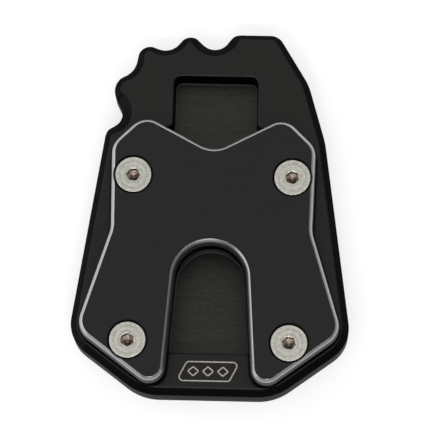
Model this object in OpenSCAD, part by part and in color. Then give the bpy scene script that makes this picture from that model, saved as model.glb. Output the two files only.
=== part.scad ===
// Foot enlarger for a motorbike kickstand.
// A thick base plate carries a pocket for the stand's own foot. A clamp plate lies on it, with a
// slot that the leg rises through, and four countersunk screws hold the two together.
// The part lies flat: +X is right, +Y is the scalloped toe, +Z is up out of the clamp plate.

/* [Base plate] */
// Thickness of the base plate
base_t = 12; // [9:0.5:16]
// Width of the bevel round its top edge
base_bevel = 2.4; // [1:0.1:3]
// Half of its length along Y
half_len = 62.5; // [54:0.5:72]
// Half width of the heel edge
half_heel = 22.2; // [18:0.1:26]
// Widest half width, at the lower corners
half_wide = 47.1; // [42:0.1:52]
// Half width at the shoulders
half_shoulder = 37.3; // [36:0.1:41]
// Rise of the widest corners above the heel edge
wide_rise = 18.4; // [15:0.1:22]
// Length of the toe, from the shoulders to its tip
toe_len = 37.6; // [33:0.1:42]
// Edge break round the underside
foot_break = 0.5; // [0.3:0.1:1]

/* [Foot pocket] */
// Depth of the pocket below the top face
pocket_d = 8; // [5:0.5:9]
// Half width of the pocket under the clamp plate
pocket_half = 20; // [16.5:0.5:21]
// Half width of its narrow neck at the toe
neck_half = 14.2; // [11:0.1:16]
// Metal between the neck's end wall and the toe edge
toe_wall = 15.6; // [12:0.1:20]
// Length of the neck
neck_len = 18.1; // [15:0.1:21]
// Length of the solid pad between the pocket and the heel edge
pad_len = 13.9; // [10:0.1:17]
// Edge break round its rim
rim_break = 0.5; // [0.3:0.1:0.8]
// Depth of the relief in the floor below the leg
relief_d = 1; // [0.5:0.1:2]
// How far the relief lies ahead of the slot, whose outline it repeats
relief_ahead = 0.6; // [0:0.1:1.5]
// Edge break where the relief meets the floor
floor_break = 0.4; // [0.2:0.1:0.6]
// Floor left between the relief and the pad
relief_gap = 1; // [0.6:0.1:8]

/* [Clamp plate] */
// Thickness of the clamp plate
clamp_t = 8; // [5:0.5:10]
// How far it stays inside the sides of the base plate
clamp_inset = 3.4; // [2.8:0.1:4.7]
// Length of the toe that it leaves bare
toe_bare = 31.7; // [28:0.1:35]
// Depth of the V notch in its toe edge
notch_d = 12.4; // [9:0.1:15]
// How much narrower its waist is, on each side
waist_in = 0.6; // [0:0.1:3]
// Width of its bright bevel on the face
clamp_bevel = 1.05; // [0.6:0.05:1.6]
// Depth of that bevel on the wall
clamp_bevel_d = 1.8; // [0.6:0.1:2.4]
// Radius of the slot's round end
slot_r = 12.2; // [9:0.1:14]
// Y of the top of that round end
slot_top = -12.5; // [-18:0.1:-8]
// Angle by which each side of the slot flares toward the heel
slot_flare = 4; // [2:0.5:6]

/* [Screws] */
// Metal between the upper screw heads and the side of the clamp plate
head_margin = 1.4; // [0.8:0.1:3]
// Distance of the upper pair from the clamp plate's toe corners
screw_drop = 20.8; // [17:0.1:25]
// Distance of the lower pair from the heel edge
screw_rise = 16.5; // [14:0.5:20]
// Thread radius
thread_r = 3; // [2.5:0.5:4]
// Head radius
head_r = 6; // [5:0.1:6.5]
// Length with the head
screw_len = 16; // [11:1:18]
// Width across the flats of the socket
socket_af = 4; // [3:0.5:5]
// How far the heads lie below the face
head_sunk = 0.3; // [0:0.05:0.6]

/* [Hidden] */

$fn = 96;
slack = 0.5;
arc_step = 7;
top_z = base_t + clamp_t;
floor_z = base_t - pocket_d;
relief_z = floor_z - relief_d;
toe_y = half_len;
heel_y = -half_len;
shoulder_y = toe_y - toe_len;
wide_y = heel_y + wide_rise;
neck_end = toe_y - toe_wall;
neck_foot = neck_end - neck_len;
heel_wall = heel_y + pad_len;
relief_top = slot_top + relief_ahead;
relief_heel = heel_wall + relief_gap;
clamp_toe = toe_y - toe_bare;
clamp_x = half_shoulder - clamp_inset;
screw_x = clamp_x - head_margin - head_r;
screw_up = clamp_toe - screw_drop;
screw_low = heel_y + screw_rise;

// The scallops and their tips are set out along the toe in eighths of its length
toe_step = toe_len / 8;
// Corner radius of the sharpest tips, kept wide enough for the bevel to run round them
tip_r = max(4, 1.5 * base_bevel + 0.5);

// Corners of the base plate, counter-clockwise from the heel: x, y and corner radius. The four
// scallops of the toe are the corners that turn the other way.
base_corners = [
    [half_heel, heel_y, 18],
    [half_wide, wide_y, 12],
    [half_shoulder, shoulder_y, 30],
    [half_shoulder - 5.9, toe_y - 3.7 * toe_step, 20],
    [20.8, toe_y, 5],
    [5.5, toe_y, 5],
    [0, toe_y - 1.6 * toe_step, 5.5],
    [-9.5, toe_y + 0.1 * toe_step, tip_r],
    [-16, toe_y - 1.4 * toe_step, 6],
    [-26, toe_y - 0.75 * toe_step, tip_r],
    [-28, toe_y - 2.87 * toe_step, 7],
    [-half_shoulder + 0.8, toe_y - 3.83 * toe_step, 6],
    [-half_shoulder + 6.8, toe_y - 6.38 * toe_step, 4.5],
    [-half_shoulder + 0.6, toe_y - 7.34 * toe_step, 5],
    [-half_shoulder, shoulder_y, 8],
    [-half_wide, wide_y, 12],
    [-half_heel, heel_y, 18],
];

// Scallops: number in the list above and width of their wider, conical bevel
scallops = [[6, 3.5], [8, 2.9], [10, 2.9], [12, 3.8]];

// Where the flared side of the slot would meet the level of its top. The two arcs of the round
// end just fit between these corners.
arch_x = slot_r * tan(45 - slot_flare / 2) + 0.01;
leg_end = heel_y - 1.2;

// Right half of the clamp plate from the slot to the notch: x, y and corner radius. The first
// pair is the flared side of the slot, which runs out through the heel edge.
clamp_half = [
    [arch_x, slot_top, slot_r],
    [arch_x + (slot_top - leg_end) * tan(slot_flare), leg_end, 5],
    [half_wide - clamp_inset, wide_y + 1.8, 7],
    [clamp_x - waist_in, slot_top + 4.1, 11],
    [clamp_x, clamp_toe - 10.3, 7],
    [clamp_x - 10.4, clamp_toe, 6.5],
];
// Middle of the V notch at the toe
notch = [0, clamp_toe - notch_d, 9];

// Corner radius of the pocket, limited by the step from the neck to the wide part
pocket_r = min(2.5, (pocket_half - neck_half) * 0.45);

pocket_corners = [
    [pocket_half, heel_wall, pocket_r],
    [pocket_half, neck_foot, pocket_r],
    [neck_half, neck_foot, pocket_r * 0.8],
    [neck_half, neck_end, 2.5],
    [-neck_half, neck_end, 2.5],
    [-neck_half, neck_foot, pocket_r * 0.8],
    [-pocket_half, neck_foot, pocket_r],
    [-pocket_half, heel_wall, pocket_r],
];

// Relief below the leg: the slot's round end and flared sides once more
relief_side = arch_x + (relief_top - relief_heel) * tan(slot_flare);
relief_corners = [
    [relief_side, relief_heel, 2.5],
    [arch_x, relief_top, slot_r],
    [-arch_x, relief_top, slot_r],
    [-relief_side, relief_heel, 2.5],
];

// Outlines from corners

function unit(v) = v / norm(v);
function xy(p) = [p[0], p[1]];
function snapped(p) = [round(p[0] * 500) / 500, round(p[1] * 500) / 500];
function turned(v, a) = [v[0] * cos(a) - v[1] * sin(a), v[0] * sin(a) + v[1] * cos(a)];
function mirrored(p) = [-p[0], p[1], p[2]];
function reversed(list) = [for (i = [len(list) - 1 : -1 : 0]) list[i]];

// Direction of travel into and out of corner i
function way_in(c, i) = unit(xy(c[i]) - xy(c[(i + len(c) - 1) % len(c)]));
function way_out(c, i) = unit(xy(c[(i + 1) % len(c)]) - xy(c[i]));
// Angle turned at corner i, positive to the left
function turn(c, i) =
    let (u = way_in(c, i), v = way_out(c, i)) atan2(u[0] * v[1] - u[1] * v[0], u * v);
// Unit vector from the start of the corner's arc to its centre
function to_centre(c, i) = sign(turn(c, i)) * turned(way_in(c, i), 90);
function arc_centre(c, i) =
    xy(c[i]) - way_in(c, i) * c[i][2] * tan(abs(turn(c, i)) / 2) + to_centre(c, i) * c[i][2];
// The corner's arc, with the whole outline moved outward by grow
function corner_arc(c, i, grow) =
    let (t = turn(c, i), n = max(2, ceil(abs(t) / arc_step)), r = c[i][2] + sign(t) * grow)
    [for (k = [0 : n]) arc_centre(c, i) + turned(-to_centre(c, i), t * k / n) * r];
// Points of the whole outline, on a grid of 0.002 mm so that a wall and its bevel share corners
function outline(c, grow = 0) =
    [for (i = [0 : len(c) - 1]) each [for (p = corner_arc(c, i, grow)) snapped(p)]];

clamp_corners = concat(clamp_half, [notch], [for (p = reversed(clamp_half)) mirrored(p)]);

// Building blocks

// Straight-walled plate or hole with the outline of the corners
module prism(c, z0, z1) {
    translate([0, 0, z0])
        linear_extrude(z1 - z0) polygon(outline(c));
}

// Ring that cuts a bevel, 45 degrees unless it has a depth of its own. side is 1 round a plate
// and -1 round the rim of a hole, up is 1 for an upper edge at height z and -1 for a lower one.
// Its slope passes through the edge on the wall and the edge on the face, and runs on by half
// of its size at both ends.
module bevel_ring(c, width, z, side = 1, up = 1, depth = 0) {
    fall = depth > 0 ? depth : width;
    wall = outline(c);
    face = outline(c, -side * width);
    n = len(wall);
    outer = [for (i = [0 : n - 1]) wall[i] * 1.5 - face[i] * 0.5];
    inner = [for (i = [0 : n - 1]) face[i] * 1.5 - wall[i] * 0.5];
    low = z - up * fall * 1.5;
    high = z + up * fall / 2;
    points = concat([for (p = outer) [p[0], p[1], low]], [for (p = inner) [p[0], p[1], high]],
        [for (p = outer) [p[0], p[1], high]]);
    quads = [for (r = [0 : 2], i = [0 : n - 1])
        [r * n + i, r * n + (i + 1) % n, (r + 1) % 3 * n + (i + 1) % n, (r + 1) % 3 * n + i]];
    polyhedron(points, side * up > 0 ? quads : [for (q = quads) reversed(q)]);
}

// Cone that widens the bevel in one scallop
module scallop_cone(place) {
    p = arc_centre(base_corners, place[0]);
    r = base_corners[place[0]][2];
    translate([p[0], p[1], base_t - place[1] - slack])
        cylinder(h = place[1] + 2 * slack, r1 = r - slack, r2 = r + place[1] + slack);
}

// Places one child at each screw
module at_screws() {
    for (x = [-screw_x, screw_x], y = [screw_low, screw_up])
        translate([x, y, 0]) children();
}

// Sub-parts

// Machined base plate with the scalloped toe, the stepped pocket and four tapped holes
module base_plate() {
    color("#2b2b2b")
    difference() {
        prism(base_corners, 0, base_t);
        bevel_ring(base_corners, base_bevel, base_t);
        bevel_ring(base_corners, foot_break, 0, 1, -1);
        for (s = scallops) scallop_cone(s);
        prism(pocket_corners, floor_z, base_t + 1);
        bevel_ring(pocket_corners, rim_break, base_t, -1);
        prism(relief_corners, relief_z, floor_z + 1);
        bevel_ring(relief_corners, floor_break, floor_z, -1);
        at_screws() translate([0, 0, -1]) cylinder(h = base_t + 2, r = thread_r);
    }
}

// Machined clamp plate: V notch at the toe, flared slot for the leg, four countersunk holes
module clamp_plate() {
    bore_r = thread_r + 0.2;
    sink_r = head_r + head_sunk + 0.1;
    color("#303236")
    difference() {
        prism(clamp_corners, base_t, top_z);
        bevel_ring(clamp_corners, clamp_bevel, top_z, depth = clamp_bevel_d);
        at_screws() {
            translate([0, 0, base_t - 1]) cylinder(h = clamp_t + 2, r = bore_r);
            translate([0, 0, top_z - sink_r + bore_r])
                cylinder(h = sink_r - bore_r + 1, r1 = bore_r, r2 = sink_r + 1);
        }
    }
}

// Countersunk screw with a hexagon socket, head up, turned by the given angle
module countersunk_screw(angle) {
    tip_z = -screw_len;
    color("#b8b4ab")
    translate([0, 0, top_z - head_sunk]) rotate([0, 0, angle])
    difference() {
        rotate_extrude() polygon([
            [0, 0],
            [head_r - 0.1, 0],
            [head_r, -0.1],
            [thread_r - 0.05, -0.1 - head_r + thread_r - 0.05],
            [thread_r - 0.05, tip_z + 0.8],
            [thread_r - 0.8, tip_z],
            [0, tip_z],
        ]);
        translate([0, 0, -2.4]) cylinder(h = 3, r = socket_af / sqrt(3), $fn = 6);
        translate([0, 0, -3.4]) cylinder(h = 1.1, r1 = 0.1, r2 = socket_af / 2);
    }
}

module screw_toe_left() { translate([-screw_x, screw_up, 0]) countersunk_screw(28); }
module screw_toe_right() { translate([screw_x, screw_up, 0]) countersunk_screw(12); }
module screw_heel_left() { translate([-screw_x, screw_low, 0]) countersunk_screw(2); }
module screw_heel_right() { translate([screw_x, screw_low, 0]) countersunk_screw(20); }

base_plate();
clamp_plate();
screw_toe_left();
screw_toe_right();
screw_heel_left();
screw_heel_right();
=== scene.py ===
"""Foot enlarger for a motorbike kickstand: two machined, black anodised aluminium plates and four
countersunk screws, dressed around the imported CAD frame. The part's own lengths are in millimetres,
which MM turns to Blender's metres. The floor and the lamps are placed in metres."""

import math

import bmesh
import bpy
import numpy as np
from mathutils import Matrix, Vector
from mathutils.geometry import tessellate_polygon


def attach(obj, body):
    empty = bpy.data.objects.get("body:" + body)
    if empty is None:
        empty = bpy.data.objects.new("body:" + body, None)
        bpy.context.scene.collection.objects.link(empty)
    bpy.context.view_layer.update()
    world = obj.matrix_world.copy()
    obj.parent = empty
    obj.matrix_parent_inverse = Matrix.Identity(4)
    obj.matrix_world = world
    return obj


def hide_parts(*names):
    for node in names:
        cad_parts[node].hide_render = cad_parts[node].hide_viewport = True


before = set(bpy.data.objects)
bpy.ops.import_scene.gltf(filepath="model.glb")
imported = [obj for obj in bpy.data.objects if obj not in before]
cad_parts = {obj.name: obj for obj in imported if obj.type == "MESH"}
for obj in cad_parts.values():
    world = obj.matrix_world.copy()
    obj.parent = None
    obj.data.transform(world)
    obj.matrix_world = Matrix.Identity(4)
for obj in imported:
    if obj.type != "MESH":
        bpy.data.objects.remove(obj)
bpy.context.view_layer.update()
MM = 0.001

# Camera. The photograph looks down on the part from the heel side, 14 degrees off the vertical,
# with a long lens. The angles and the distance come from the outline and the four round heads.
TILT, SIDE, ROLL = (math.radians(a) for a in (-13.67, -1.81, -1.59))
PHOTO_PX, FOCAL_PX, PX_PER_MM, SENSOR = 448, 2500.0, 3.0005, 36.0
NOTCH_PX, NOTCH_MM = (213.4, 153.1), Vector((0, 17.8, 20))


def camera_pose():
    """Part to camera is a turn about Y, then X, then Z. The notch's corner is seen at its pixel, so
    its offset from the middle and the focal length, both over the scale, give its place in front
    of the camera."""
    turn = Matrix.Rotation(ROLL, 3, "Z") @ Matrix.Rotation(TILT, 3, "X")
    turn = turn @ Matrix.Rotation(SIDE, 3, "Y")
    middle = PHOTO_PX / 2
    away = Vector((NOTCH_PX[0] - middle, middle - NOTCH_PX[1], -FOCAL_PX)) / PX_PER_MM
    place = NOTCH_MM - turn.transposed() @ away
    return Matrix.Translation(place * MM) @ turn.transposed().to_4x4()


camera = bpy.data.objects.new("camera", bpy.data.cameras.new("camera"))
bpy.context.scene.collection.objects.link(camera)
camera.matrix_world = camera_pose()
camera.data.sensor_width = SENSOR
camera.data.lens = FOCAL_PX / PHOTO_PX * SENSOR
camera.data.clip_start, camera.data.clip_end = 0.05, 20
bpy.context.scene.camera = camera
bpy.context.scene.view_settings.view_transform = "Standard"

# Base plate. 12 mm aluminium plate with a wide machined bevel, four scallops cut into the left of
# its toe, and a stepped pocket that takes the stand's own foot. Its face is milled, and it is
# anodised satin black. The sizes repeat those of the CAD source.
BASE_T, BASE_BEVEL, FOOT_BREAK, FLOOR_Z, RELIEF_Z = 12.0, 2.4, 0.5, 4.0, 3.0
EDGE_R, MITRE_R, RIM_R, STEP_R = 0.25, 0.08, 0.6, 0.35
TOE_Y, HEEL_Y, SHOULDER_Y, WIDE_Y = 62.5, -62.5, 24.9, -44.1
EIGHTH = (TOE_Y - SHOULDER_Y) / 8

# A corner is x, y and the radius that rounds it, and the corners run counter-clockwise. SCALLOPS
# says which of the base's corners are scallops, and how wide the bevel is cut round each.
BASE_CORNERS = [
    (22.2, HEEL_Y, 18), (47.1, WIDE_Y, 12), (37.3, SHOULDER_Y, 30),
    (31.4, TOE_Y - 3.7 * EIGHTH, 20), (20.8, TOE_Y, 5), (5.5, TOE_Y, 5),
    (0, TOE_Y - 1.6 * EIGHTH, 5.5), (-9.5, TOE_Y + 0.1 * EIGHTH, 4.1),
    (-16, TOE_Y - 1.4 * EIGHTH, 6), (-26, TOE_Y - 0.75 * EIGHTH, 4.1),
    (-28, TOE_Y - 2.87 * EIGHTH, 7), (-36.5, TOE_Y - 3.83 * EIGHTH, 6),
    (-30.5, TOE_Y - 6.38 * EIGHTH, 4.5), (-36.7, TOE_Y - 7.34 * EIGHTH, 5),
    (-37.3, SHOULDER_Y, 8), (-47.1, WIDE_Y, 12), (-22.2, HEEL_Y, 18),
]
SCALLOPS = {6: 3.5, 8: 2.9, 10: 2.9, 12: 3.8}
POCKET_HALF = [(20, -48.6, 2.5), (20, 28.8, 2.5), (14.2, 28.8, 2), (14.2, 46.9, 2.5)]
POCKET_CORNERS = POCKET_HALF + [(-x, y, r) for x, y, r in POCKET_HALF[::-1]]

# The clamp's slot is an arch over two sides that flare by 4 degrees, and the relief in the pocket's
# floor repeats it 0.6 mm further toward the toe.
SLOT_R, SLOT_TOP, FLARE = 12.2, -12.5, math.tan(math.radians(4))
ARCH_X = SLOT_R * math.tan(math.radians(43)) + 0.01
RELIEF_TOP, RELIEF_HEEL = SLOT_TOP + 0.6, -47.6
RELIEF_HALF = [(ARCH_X + (RELIEF_TOP - RELIEF_HEEL) * FLARE, RELIEF_HEEL, 2.5),
               (ARCH_X, RELIEF_TOP, SLOT_R)]
RELIEF_CORNERS = RELIEF_HALF + [(-x, y, r) for x, y, r in RELIEF_HALF[::-1]]
SCREW_X, SCREW_UP, SCREW_LOW, THREAD_R, BELOW_SCREW = 26.5, 10.0, -46.0, 3.0, 3.4
HOLES = [(x, y) for x in (-SCREW_X, SCREW_X) for y in (SCREW_UP, SCREW_LOW)]


def corner_arc(corners, i, step):
    """Corner i rounded: points and outward normals of its arc, its centre and its signed radius.
    The centre lies the radius times the tangent of half the turn back along the edge that comes in,
    and one radius to the side that the outline turns to."""
    here, before, after = (np.array(corners[(i + k) % len(corners)][:2], float) for k in (0, -1, 1))
    u = (here - before) / np.linalg.norm(here - before)
    v = (after - here) / np.linalg.norm(after - here)
    turn = math.atan2(u[0] * v[1] - u[1] * v[0], float(u @ v))
    radius, side = corners[i][2], math.copysign(1, turn)
    left = np.array((-u[1], u[0]))
    centre = here - u * radius * math.tan(abs(turn) / 2) + left * side * radius
    angle = np.linspace(0, turn, max(2, math.ceil(abs(turn) / step)) + 1)
    c, s = np.cos(angle)[:, None], np.sin(angle)[:, None]
    normal = -left * c + u * s
    return centre + normal * side * radius, normal, centre, side * radius


def outline(corners, step=math.radians(3), gap=3.0):
    """Rounded outline: the arcs of all corners, and points every gap mm along the straights."""
    arcs = [corner_arc(corners, i, step) for i in range(len(corners))]
    points, normals = [], []
    for (p, n, _, _), (q, _, _, _) in zip(arcs, arcs[1:] + arcs[:1]):
        count = int(np.linalg.norm(q[0] - p[-1]) / gap)
        share = np.linspace(0, 1, count + 2)[1:-1, None]
        points += [p, p[-1] + share * (q[0] - p[-1])]
        normals += [n, np.repeat(n[-1:], count, axis=0)]
    points, normals = np.concatenate(points), np.concatenate(normals)
    fresh = np.linalg.norm(points - np.roll(points, 1, axis=0), axis=1) > 1e-4
    return points[fresh], normals[fresh]


def carried(points, normals, profile):
    """Profile of (outward offset, height) pairs carried round an outline, as a grid of points: each
    lies its offset along the outline's normal, at its height."""
    offset, height = np.array(profile, float).T
    xy = points[None] + normals[None] * offset[:, None, None]
    return np.dstack([xy, np.repeat(height[:, None, None], len(points), axis=1)])


def circle(x, y, r, count=48):
    """Points and outward normals of a circle, counter-clockwise."""
    a = np.arange(count) * 2 * math.pi / count
    n = np.stack([np.cos(a), np.sin(a)], axis=1)
    return np.array((x, y)) + n * r, n


class Shell:
    """Collects grids and flat faces, joins their shared points and makes one mesh of them."""

    def __init__(self):
        self.points, self.faces, self.slots, self.count = [], [], [], 0

    def add(self, points, faces, slot):
        """Takes points, and faces that number them from 0."""
        self.points.append(points.reshape(-1, 3))
        self.faces += [[int(i) + self.count for i in f] for f in faces]
        self.slots += [slot] * len(faces)
        self.count += len(self.points[-1])

    def grid(self, rings, slot=0):
        """Rings of a surface that closes on itself; it faces outward when the rings go up."""
        rows, n = rings.shape[:2]
        a = (np.arange(rows - 1)[:, None] * n + np.arange(n)).ravel()
        b = (np.arange(rows - 1)[:, None] * n + (np.arange(n) + 1) % n).ravel()
        self.add(rings, np.stack([a, b, b + n, a + n], axis=1).tolist(), slot)

    def flat(self, loops, slot=0, down=False):
        """Flat face between an outer loop and its holes, at the height of the loops."""
        loops = [np.asarray(p) for p in loops]
        points = np.concatenate(loops)
        faces = []
        for f in tessellate_polygon([[Vector(p) for p in loop] for loop in loops]):
            a, b, c = (points[i][:2] for i in f)
            up = (b[0] - a[0]) * (c[1] - a[1]) - (b[1] - a[1]) * (c[0] - a[0])
            faces.append(f if (up > 0) != down else f[::-1])
        self.add(points, faces, slot)

    def build(self, name, materials):
        """Makes the object. Points closer than 0.0001 mm become one, and edges over 26 degrees
        stay sharp."""
        mesh = bpy.data.meshes.new(name)
        mesh.from_pydata(np.concatenate(self.points) * MM, [], self.faces)
        mesh.polygons.foreach_set("material_index", self.slots)
        mesh.polygons.foreach_set("use_smooth", [True] * len(self.faces))
        for m in materials:
            mesh.materials.append(m)
        made = bpy.data.objects.new(name, mesh)
        bpy.context.scene.collection.objects.link(made)
        bm = bmesh.new()
        bm.from_mesh(mesh)
        bmesh.ops.remove_doubles(bm, verts=bm.verts, dist=1e-7)
        bm.to_mesh(mesh)
        bm.free()
        mesh.set_sharp_from_angle(angle=math.radians(26))
        return made


def least(a, b, width):
    """The lesser of two heights, with the corner between them rounded over width."""
    near = np.maximum(width - np.abs(a - b), 0)
    return np.minimum(a, b) - near * near / (4 * width)


def rounded(z, r, steps):
    """Profile of a rim that turns from a flat face at height z into a wall: a quarter circle."""
    a = np.linspace(0, math.pi / 2, steps + 1)
    return [(r - r * math.sin(k), z - r + r * math.cos(k)) for k in a]


def bevel_height(xy, inset):
    """Height of the bevel at a point: the least of the plain 45 degree bevel, which rises with the
    inset, and the 45 degree cone of each scallop, which rises with the distance from its axis."""
    height = BASE_T - BASE_BEVEL + inset
    for i, width in SCALLOPS.items():
        _, _, centre, radius = corner_arc(BASE_CORNERS, i, 1.0)
        cone = BASE_T - width + np.linalg.norm(xy - centre, axis=-1) - abs(radius)
        height = least(height, cone, MITRE_R)
    return height


def bevel_reach(points, normals, most=5.0):
    """How far in from the edge the bevel meets the face: its own width, or where the normal's line
    leaves the circle of a scallop's cone at the face, if that is farther and less than most."""
    reach = np.full(len(points), BASE_BEVEL)
    for i, width in SCALLOPS.items():
        _, _, centre, radius = corner_arc(BASE_CORNERS, i, 1.0)
        d = points - centre
        along = (d * normals).sum(axis=1)
        root = along ** 2 - (d ** 2).sum(axis=1) + (abs(radius) + width) ** 2
        there = along + np.sqrt(np.maximum(root, 0))
        reach = np.where((root > 0) & (there > reach) & (there < most), there, reach)
    return reach


def threaded(x, y, r, low, high, pitch=1.0, depth=0.3, sides=48):
    """Rings of a helical thread: the radius falls by a triangle wave of the height in pitches less
    the angle in turns, and the thread fades out over a third of a pitch at both ends."""
    z = np.linspace(low, high, int((high - low) / pitch * 8) + 1)[:, None]
    a = np.arange(sides)[None] * 2 * math.pi / sides
    wave = np.abs(((z / pitch - a / (2 * math.pi)) % 1) * 2 - 1)
    fade = np.clip(np.minimum(z - low, high - z) / (0.3 * pitch), 0, 1)
    radius = r - depth * wave * fade
    return np.dstack([x + radius * np.cos(a), y + radius * np.sin(a), z + 0 * a])


def base_edge(bevel_steps=14):
    """Rings of the rim, from the underside up the wall, over an edge rounded by EDGE_R, in along
    the bevel at the height that bevel_height gives, and a little way on over the face. Also says
    which ring is the last of the bevel. The points lie a hair inside the CAD's own box."""
    points, normals = outline(BASE_CORNERS, gap=0.6)
    points = points * (1 - 5e-5)
    edge, reach = bevel_height(points, 0.0), bevel_reach(points, normals)
    rings = [carried(points, normals, [(-FOOT_BREAK, 0), (0, FOOT_BREAK)])]
    for angle in np.radians((0, 15, 30, 45)):
        inset = EDGE_R * (1 - math.cos(angle))
        rise = EDGE_R * (math.sin(angle) - math.tan(math.radians(22.5)))
        rings.append(np.dstack([(points - normals * inset)[None], (edge + rise)[None]]))
    last = len(rings) + bevel_steps
    steps = [inset + (reach - EDGE_R - inset) * k / bevel_steps for k in range(1, bevel_steps + 1)]
    steps += [reach + k for k in (-0.15, -0.05, 0.05, 0.15, 0.25, 0.4)]
    for inset in steps:
        xy = points - normals * inset[:, None]
        height = least(BASE_T + 0 * inset, bevel_height(xy, inset), EDGE_R)
        rings.append(np.dstack([xy[None], height[None]]))
    rings = np.concatenate(rings)
    rings[-1, :, 2] = BASE_T
    return rings, last


def base_shell():
    """The rim, then the pocket and its relief, whose outlines are carried down over a rounded
    edge, the four tapped holes, and the flat faces between them."""
    shell = Shell()
    rings, last = base_edge()
    shell.grid(rings[:3])
    shell.grid(rings[2:last + 1], slot=1)
    shell.grid(rings[last:])
    rim = outline(POCKET_CORNERS)
    lip = carried(*rim, [(RIM_R + 0.3, BASE_T), *rounded(BASE_T, RIM_R, 8)])
    wall = carried(*rim, [(0, BASE_T - RIM_R), (0, FLOOR_Z + 0.6), (-0.08, FLOOR_Z + 0.3),
                          (-0.3, FLOOR_Z + 0.08)])
    foot = carried(*rim, [(-0.3, FLOOR_Z + 0.08), (-0.6, FLOOR_Z), (-0.9, FLOOR_Z)])
    shell.grid(lip)
    shell.grid(wall, slot=1)
    shell.grid(foot, slot=2)
    low = outline(RELIEF_CORNERS)
    step = carried(*low, [(STEP_R + 0.15, FLOOR_Z), *rounded(FLOOR_Z, STEP_R, 4)])
    sunk = carried(*low, [(0, FLOOR_Z - STEP_R), (0, RELIEF_Z + 0.4), (-0.12, RELIEF_Z + 0.12),
                          (-0.4, RELIEF_Z), (-0.7, RELIEF_Z)])
    shell.grid(step)
    shell.grid(sunk, slot=2)
    shell.flat([foot[-1], step[0]], slot=2)
    shell.flat([sunk[-1]], slot=2)
    mouths, feet = [], []
    for x, y in HOLES:
        hole = circle(x, y, THREAD_R)
        upper = carried(*hole, [(0.2, BASE_T), (0, BASE_T - 0.2), (0, BELOW_SCREW)])
        thread = threaded(x, y, THREAD_R, FOOT_BREAK, BELOW_SCREW)[::-1]
        lower = carried(*hole, [(0, FOOT_BREAK), (FOOT_BREAK, 0)])
        shell.grid(np.concatenate([upper, thread[1:-1], lower]))
        mouths.append(upper[0])
        feet.append(lower[-1])
    shell.flat([rings[-1], lip[0], *mouths])
    shell.flat([rings[0], *feet], down=True)
    return shell


def linear(hex_colour):
    """sRGB hex value to the linear colour that Blender's shaders take: a straight foot, and a power
    of 2.4 above it."""
    c = np.array([int(hex_colour[k:k + 2], 16) / 255 for k in (1, 3, 5)])
    return (*np.where(c <= 0.04045, c / 12.92, ((c + 0.055) / 1.055) ** 2.4).tolist(), 1.0)


def per_metre(mm):
    """Scale of a pattern whose features are a size in millimetres: how many a metre holds."""
    return 1 / (mm * MM)


def node(tree, kind, settings=(), **links):
    """Adds a node. Settings are attributes or, by an input's name or number, values. A link names
    its input, with an underscore for a space, or gives the input's number after the letter i."""
    made = tree.nodes.new(kind)
    for key, value in dict(settings).items():
        if isinstance(key, str) and hasattr(made, key):
            setattr(made, key, value)
        else:
            made.inputs[key].default_value = value
    for key, source in links.items():
        name = int(key[1:]) if key[1:].isdigit() else key.replace("_", " ")
        tree.links.new(source, made.inputs[name])
    return made


def material(name, hex_colour, metallic, roughness):
    """A material with its node tree and its shader, set to the plain values of the finish."""
    made = bpy.data.materials.new(name)
    made.use_nodes = True
    shader = made.node_tree.nodes["Principled BSDF"]
    shader.inputs["Base Color"].default_value = linear(hex_colour)
    shader.inputs["Metallic"].default_value = metallic
    shader.inputs["Roughness"].default_value = roughness
    return made, made.node_tree, shader


def anodised(name, hex_colour, roughness, marks, edge=0.5):
    """Milled aluminium, anodised and dyed black: a satin metal, kept dark at a low angle by edge.
    The mill leaves fine lines along X, 0.1 mm apart on the part and drawn 0.6 mm wide so that they
    show. The lines and a grain drift the roughness, the height and, by marks, the dye. An ambient
    occlusion node paints the dye nearly black in inner corners: painted shade."""
    made, tree, shader = material(name, hex_colour, 1.0, roughness)
    shader.inputs["Specular Tint"].default_value = (edge, edge, edge, 1)
    place = node(tree, "ShaderNodeTexCoord").outputs["Object"]
    stretch = per_metre(16.67), per_metre(0.588), per_metre(16.67)
    lines = node(tree, "ShaderNodeMapping", {"Scale": stretch}, Vector=place)
    mill = node(tree, "ShaderNodeTexNoise", {"Scale": 1.0, "Detail": 2.0}, Vector=lines.outputs[0])
    grain = node(tree, "ShaderNodeTexNoise", {"Scale": per_metre(1.111), "Detail": 3.0},
                 Vector=place)
    both = node(tree, "ShaderNodeMath", {"operation": "ADD"}, i0=mill.outputs[0],
                i1=grain.outputs[0])
    rough = node(tree, "ShaderNodeMapRange", {"From Min": 0.6, "From Max": 1.4,
                 "To Min": roughness - 0.05, "To Max": roughness + 0.05}, Value=both.outputs[0])
    tree.links.new(rough.outputs[0], shader.inputs["Roughness"])
    bump = node(tree, "ShaderNodeBump", {"Strength": marks, "Distance": 0.02 * MM},
                Height=both.outputs[0])
    tree.links.new(bump.outputs[0], shader.inputs["Normal"])
    drift = node(tree, "ShaderNodeMapRange", {"From Min": 0.6, "From Max": 1.4},
                 Value=both.outputs[0])
    dark, pale = ((*np.array(linear(hex_colour))[:3] * (1 + k * marks * 0.8), 1) for k in (-1, 1))
    dye = node(tree, "ShaderNodeMix", {"data_type": "RGBA", 6: dark, 7: pale}, i0=drift.outputs[0])
    # Painted shade: where another surface lies within 0.9 mm, the dye is mixed toward near black.
    corner = node(tree, "ShaderNodeAmbientOcclusion", {"samples": 8, "Distance": 0.9 * MM})
    unshaded_share = node(tree, "ShaderNodeMapRange", {"From Min": 0.55, "From Max": 0.85},
                 Value=corner.outputs["AO"])
    painted_corner_shade = node(tree, "ShaderNodeMix", {"data_type": "RGBA", 6: linear("#040404")},
                i0=unshaded_share.outputs[0], i7=dye.outputs[2])
    tree.links.new(painted_corner_shade.outputs[2], shader.inputs["Base Color"])
    return made


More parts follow.
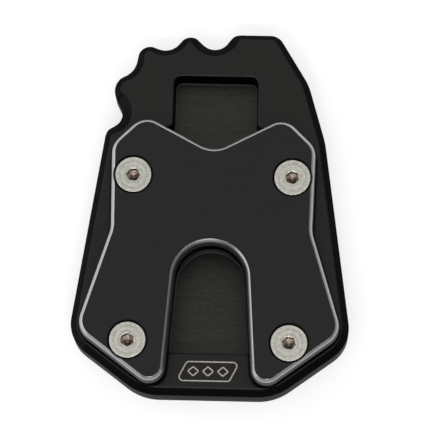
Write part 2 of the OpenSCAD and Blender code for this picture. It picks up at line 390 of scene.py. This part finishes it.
# The face is satin, the cut bevels and walls are smoother and a deeper black, and the pocket's
# floor keeps the marks of the end mill.
base_black = anodised("anodised_base", "#272726", 0.42, 0.1)
cut_black = anodised("anodised_base_cut", "#161617", 0.3, 0.1)
floor_black = anodised("anodised_pocket_floor", "#30302e", 0.44, 0.35)
base = base_shell().build("base_plate_dressed", [base_black, cut_black, floor_black])
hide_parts("base_plate")
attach(base, "root")

# Mark on the pad. A thin leaning frame around three diamonds, burnt into the dye of the pad by a
# laser, which leaves the matt grey oxide. It is an ornament and holds no words.
MARK_Y, MARK_LINE, MARK_PROUD = -54.6, 0.42, 0.01
FRAME = [(-10.6, -3.4, 1.5), (7.2, -3.4, 1.5), (10.6, 3.4, 1.5), (-7.2, 3.4, 1.5)]
DIAMOND = [(-2.1, 0, 0.5), (0, -1.8, 0.5), (2.1, 0, 0.5), (0, 1.8, 0.5)]
MOTIFS = [FRAME] + [[(x + along, y, r) for x, y, r in DIAMOND] for along in (-4.9, 0, 4.9)]


def mark_shell():
    """Each motif is a closed line: its outline, and the same outline MARK_LINE further in, carried
    from just under the face to just over it."""
    shell = Shell()
    low, high = BASE_T - MARK_PROUD, BASE_T + MARK_PROUD
    for corners in MOTIFS:
        path = outline([(x, MARK_Y + y, r) for x, y, r in corners], gap=1.0)
        outer = carried(*path, [(0, low), (0, high)])
        inner = carried(*path, [(-MARK_LINE, high), (-MARK_LINE, low)])
        shell.grid(outer)
        shell.grid(inner)
        shell.flat([outer[1], inner[0]])
        shell.flat([outer[0], inner[1]], down=True)
    return shell


def mottled(name, dark, pale, metallic, roughness, spots):
    """A finish whose colour drifts between two hex values in spots of a size in millimetres."""
    made, tree, shader = material(name, dark, metallic, roughness)
    place = node(tree, "ShaderNodeTexCoord").outputs["Object"]
    drift = node(tree, "ShaderNodeTexNoise", {"Scale": per_metre(spots), "Detail": 3.0},
                 Vector=place)
    share = node(tree, "ShaderNodeMapRange", {"From Min": 0.35, "From Max": 0.65},
                 Value=drift.outputs[0])
    blend = node(tree, "ShaderNodeMix", {"data_type": "RGBA", 6: linear(dark), 7: linear(pale)},
                 Factor=share.outputs[0])
    tree.links.new(blend.outputs[2], shader.inputs["Base Color"])
    return made


# The laser's dots leave the oxide matt and a little speckled.
burnt = mottled("laser_burnt_oxide", "#7c766f", "#a19b92", 0.0, 0.6, 0.4)
mark = mark_shell().build("pad_mark", [burnt])
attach(mark, "root")

# Clamp plate. 8 mm aluminium plate that lies on the base, with a V notch at the toe and a flared
# slot for the leg. It is anodised black first, and its bevel is then cut bright and left bare. Its
# wall leans out toward the foot. Its upper wall is painted grey as a painted reflection of the
# bright room, and its lower wall a deeper black as painted shade where it faces the dark base.
TOP_Z, CLAMP_BEVEL, CLAMP_FALL, BEVEL_BULGE, SINK_R, BORE_R = BASE_T + 8.0, 1.05, 1.2, 0.4, 6.6, 3.2
WALL_LEAN, PAINTED_REFLECTION_Z, CLAMP_BREAK, LEG_END = 0.7, 15.6, 0.2, HEEL_Y - 1.2
CLAMP_HALF = [
    (ARCH_X, SLOT_TOP, SLOT_R), (ARCH_X + (SLOT_TOP - LEG_END) * FLARE, LEG_END, 5),
    (43.7, WIDE_Y + 1.8, 7), (33.3, -8.4, 11), (33.9, 20.5, 7), (23.5, 30.8, 6.5),
]
CLAMP_CORNERS = [*CLAMP_HALF, (0, 18.4, 9), *[(-x, y, r) for x, y, r in CLAMP_HALF[::-1]]]


def clamp_shell():
    """The outline carried up the leaning wall and in along the bevel, which stands proud of a
    straight cut by a parabola; then the four countersunk bores, and the faces between them."""
    shell = Shell()
    path = outline(CLAMP_CORNERS)
    wall = carried(*path, [(-CLAMP_BREAK, BASE_T), (WALL_LEAN - CLAMP_BREAK, BASE_T),
                           (WALL_LEAN, BASE_T + CLAMP_BREAK), (WALL_LEAN / 2, PAINTED_REFLECTION_Z),
                           (0, TOP_Z - CLAMP_FALL)])
    # Painted light: the lower wall takes the deeper cut black as painted shade, and the upper wall
    # the paler grey as a painted reflection.
    shell.grid(wall[:4], slot=2)
    shell.grid(wall[3:], slot=3)
    share = np.linspace(0, 1, 7)
    bulge = BEVEL_BULGE * share * (1 - share)
    inset, fall = CLAMP_BEVEL * share - 0.8 * bulge, CLAMP_FALL * (1 - share) - 0.6 * bulge
    bevel = carried(*path, np.stack([-inset, TOP_Z - fall], axis=1))
    shell.grid(bevel, slot=1)
    mouths, feet = [], []
    sink = SINK_R - BORE_R
    for x, y in HOLES:
        bore = carried(*circle(x, y, BORE_R, 96), [(sink + 0.1, TOP_Z), (sink, TOP_Z),
                                                   (0, TOP_Z - sink), (0, BASE_T)])
        shell.grid(bore, slot=2)
        mouths.append(bore[0])
        feet.append(bore[-1])
    shell.flat([bevel[-1], *mouths])
    shell.flat([wall[0], *feet], down=True)
    return shell


def cut_bright():
    """Aluminium cut with a sharp mill after the dye: a clean, fairly bright metal, whose roughness
    drifts over some 5 mm, under a thin clear seal that gives the small glints."""
    made, tree, shader = material("bright_cut_aluminium", "#a1a19f", 1.0, 0.38)
    shader.inputs["Coat Weight"].default_value = 0.6
    shader.inputs["Coat Roughness"].default_value = 0.12
    place = node(tree, "ShaderNodeTexCoord").outputs["Object"]
    drift = node(tree, "ShaderNodeTexNoise", {"Scale": per_metre(4.545), "Detail": 1.0},
                 Vector=place)
    rough = node(tree, "ShaderNodeMapRange", {"From Min": 0.3, "From Max": 0.7,
                 "To Min": 0.34, "To Max": 0.42}, Value=drift.outputs[0])
    tree.links.new(rough.outputs[0], shader.inputs["Roughness"])
    return made


# The face is a little smoother than the base's. The upper wall is rough, and painted a paler grey as
# a painted reflection of the bright room.
clamp_black = anodised("anodised_clamp", "#282828", 0.38, 0.07)
wall_painted_reflection = anodised("anodised_clamp_wall_painted_reflection", "#545457", 0.6, 0.1, 0.9)
bright = cut_bright()
clamp = clamp_shell().build("clamp_plate_dressed", [clamp_black, bright, cut_black, wall_painted_reflection])
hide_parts("clamp_plate")
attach(clamp, "root")

# Screws. Four M6 countersunk screws with a 4 mm hexagon socket, in plain stainless steel, driven
# home until the heads lie a little below the face. Each stopped at its own angle, in degrees.
SCREWS = {
    "screw_toe_left": (-SCREW_X, SCREW_UP, 28), "screw_toe_right": (SCREW_X, SCREW_UP, 12),
    "screw_heel_left": (-SCREW_X, SCREW_LOW, 2), "screw_heel_right": (SCREW_X, SCREW_LOW, 20),
}
HEAD_TOP, SOCKET, SOCKET_R = 19.7, 4.0, 2.45
SHANK_R, SHANK_END, THREAD_END, THREAD_TOP = 2.95, -16, -15.2, -6
TIP = [(0, SHANK_END), (2.15, SHANK_END), (2.9, -15.25)]
HEAD = [(SHANK_R, -3.15), (5.9, -0.2), (6.0, -0.1), (5.97, -0.04), (5.88, 0), (5.6, 0), (2.7, 0),
        (SOCKET_R, 0)]
DRILL_POINT = [(1.9, -2.45), (0.55, -3.25), (0.45, -3.3), (0, -3.3)]


def screw_shell(x, y, angle, sides=96):
    """Radius and height pairs turned about the axis, from the tip over the head and down into the
    socket, whose rings follow a hexagon: half its width over the cosine of the angle from the
    middle of the nearest flat. Heights are from the top of the head."""
    shell = Shell()
    a = np.arange(sides) * 2 * math.pi / sides
    t = a + math.radians(angle)
    hexagon = SOCKET / 2 / np.cos((a + math.pi / 6) % (math.pi / 3) - math.pi / 6)

    def ring(r, z):
        r, z = r + 0 * a, z + 0 * a
        return np.stack([x + r * np.cos(t), y + r * np.sin(t), HEAD_TOP + z], axis=1)[None]

    thread = threaded(x, y, SHANK_R, HEAD_TOP + THREAD_END, HEAD_TOP + THREAD_TOP, depth=0.25,
                      sides=sides)
    mouth = ring(hexagon, (hexagon - SOCKET_R) * 0.6)
    outside = [*(ring(r, z) for r, z in TIP), thread, *(ring(r, z) for r, z in HEAD), mouth]
    inside = [mouth, ring(hexagon, -2.4), *(ring(r, z) for r, z in DRILL_POINT)]
    shell.grid(np.concatenate(outside))
    # The socket's rings take the second slot, the painted shade of the recess.
    shell.grid(np.concatenate(inside), slot=1)
    return shell


def stainless():
    """Stainless steel, cold headed, faced in a lathe and tumbled: a pale, dull metal with a faint
    mottle. The turned rings, 0.2 mm apart on the part, are drawn 0.8 mm apart so that they show.
    They follow the distance from the nearest screw's axis: X and Y, folded over the middle of the
    four, less the place of one, make a vector whose length is that distance."""
    made, tree, shader = material("stainless_tumbled", "#a8a69e", 1.0, 0.42)
    place = node(tree, "ShaderNodeTexCoord").outputs["Object"]
    mottle = node(tree, "ShaderNodeTexNoise", {"Scale": per_metre(0.667), "Detail": 4.0},
                  Vector=place)
    middle, half = (SCREW_UP + SCREW_LOW) / 2, (SCREW_UP - SCREW_LOW) / 2
    vector = "ShaderNodeVectorMath"
    moved = node(tree, vector, {"operation": "SUBTRACT", 1: (0, middle * MM, 0)}, i0=place)
    folded = node(tree, vector, {"operation": "ABSOLUTE"}, i0=moved.outputs[0])
    centred = node(tree, vector, {"operation": "SUBTRACT", 1: (SCREW_X * MM, half * MM, 0)},
                   i0=folded.outputs[0])
    level = node(tree, vector, {"operation": "MULTIPLY", 1: (1, 1, 0)}, i0=centred.outputs[0])
    radius = node(tree, vector, {"operation": "LENGTH"}, i0=level.outputs[0])
    rings = node(tree, "ShaderNodeTexNoise", {"noise_dimensions": "1D", "Scale": per_metre(0.833),
                 "Detail": 2.0}, W=radius.outputs["Value"])
    both = node(tree, "ShaderNodeMath", {"operation": "ADD"}, i0=mottle.outputs[0],
                i1=rings.outputs[0])
    tint = node(tree, "ShaderNodeMapRange", {"From Min": 0.65, "From Max": 1.35},
                Value=both.outputs[0])
    blend = node(tree, "ShaderNodeMix", {"data_type": "RGBA", 6: linear("#898780"),
                 7: linear("#c2c1b8")}, Factor=tint.outputs[0])
    tree.links.new(blend.outputs[2], shader.inputs["Base Color"])
    rough = node(tree, "ShaderNodeMapRange", {"From Min": 0.3, "From Max": 0.7,
                 "To Min": 0.36, "To Max": 0.5}, Value=mottle.outputs[0])
    tree.links.new(rough.outputs[0], shader.inputs["Roughness"])
    return made


# The sockets are painted darker and browner than the heads, as painted shade in the recess; the
# colour drifts in spots 0.7 mm wide.
steel = stainless()
socket_shade = mottled("socket_painted_shade", "#55493f", "#7d7168", 1.0, 0.35, 0.7)
for name, (x, y, angle) in SCREWS.items():
    screw = screw_shell(x, y, angle).build(name + "_dressed", [steel, socket_shade])
    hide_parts(name)
    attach(screw, "root")

# Floor and light. A plain, matt white table under a broad, even ceiling of light. White panels
# stand at the left and the toe, nearly dark ones at the right and the heel. A strip over the heel
# lights the pocket, and three small lamps give the bevels their glints.
TABLE_HALF, TABLE_Z, TABLE_GLOW, ROOM_GLOW = 3, -5e-5, 0.65, 0.15
floor_mesh = bpy.data.meshes.new("floor")
floor_mesh.from_pydata([(x * TABLE_HALF, y * TABLE_HALF, TABLE_Z)
                        for x, y in ((-1, -1), (1, -1), (1, 1), (-1, 1))], [], [(0, 1, 2, 3)])
floor = bpy.data.objects.new("floor", floor_mesh)
bpy.context.scene.collection.objects.link(floor)

# Part of the floor's white is its own glow, for the camera and for what metal shows of it. The
# rest is lit, so that the part's shadow stays.
white, tree, shader = material("matt_white_table", "#f2f2f2", 0.0, 0.9)
shader.inputs["Specular IOR Level"].default_value = 0.0
path = node(tree, "ShaderNodeLightPath").outputs
seen = node(tree, "ShaderNodeMath", {"operation": "MAXIMUM"}, i0=path["Is Camera Ray"],
            i1=path["Is Glossy Ray"])
seen = node(tree, "ShaderNodeMath", {"operation": "MAXIMUM"}, i0=seen.outputs[0],
            i1=path["Is Transmission Ray"])
share = node(tree, "ShaderNodeMath", {"operation": "MULTIPLY", 1: TABLE_GLOW}, i0=seen.outputs[0])
glow = node(tree, "ShaderNodeEmission", {"Color": (1, 1, 1, 1), "Strength": 1.0})
mixed = node(tree, "ShaderNodeMixShader", i0=share.outputs[0], i1=shader.outputs[0],
             i2=glow.outputs[0])
tree.links.new(mixed.outputs[0], tree.nodes["Material Output"].inputs["Surface"])
floor_mesh.materials.append(white)

world = bpy.data.worlds.new("studio")
bpy.context.scene.world = world
world.use_nodes = True
world.node_tree.nodes["Background"].inputs["Color"].default_value = (1, 1, 1, 1)
world.node_tree.nodes["Background"].inputs["Strength"].default_value = ROOM_GLOW


def soft_box(name, place, aim, size, glow):
    """Rectangular lamp at a place, facing a point. Its watts are pi times its area times how bright
    its face is."""
    light = bpy.data.lights.new(name, "AREA")
    light.shape, light.size, light.size_y = "RECTANGLE", *size
    light.energy = glow * math.pi * size[0] * size[1]
    made = bpy.data.objects.new(name, light)
    bpy.context.scene.collection.objects.link(made)
    made.location = place
    made.rotation_mode = "QUATERNION"
    made.rotation_quaternion = (Vector(place) - Vector(aim)).to_track_quat("Z", "Y")


# Each lamp has its place, the point that it faces, its width and height, and its brightness.
LAMPS = {
    "ceiling": ((0, 0.25, 1.25), (0, 0.25, 0), (3.0, 3.0), 0.97),
    "heel_strip": ((0, -0.85, 1.2), (0, 0, 0), (1.6, 0.25), 7.0),
    "heel_spot": ((0.1, -1.2, 0.85), (0, 0, 0), (0.12, 0.12), 60.0),
    "left_spot": ((-1.25, 0.35, 0.75), (0, 0, 0), (0.1, 0.1), 25.0),
    "right_spot": ((1.25, 0.35, 0.75), (0, 0, 0), (0.1, 0.1), 6.0),
    "left_panel": ((-1.3, 0, 0.4), (0, 0, 0.1), (2.2, 0.8), 1.5),
    "toe_panel": ((0, 1.3, 0.4), (0, 0, 0.1), (2.0, 0.8), 1.5),
    "right_panel": ((1.4, 0, 0.4), (0, 0, 0.1), (1.6, 0.8), 0.1),
    "heel_panel": ((0, -1.6, 0.45), (0, 0, 0.1), (4.0, 0.9), 0.1),
}
for name, values in LAMPS.items():
    soft_box(name, *values)
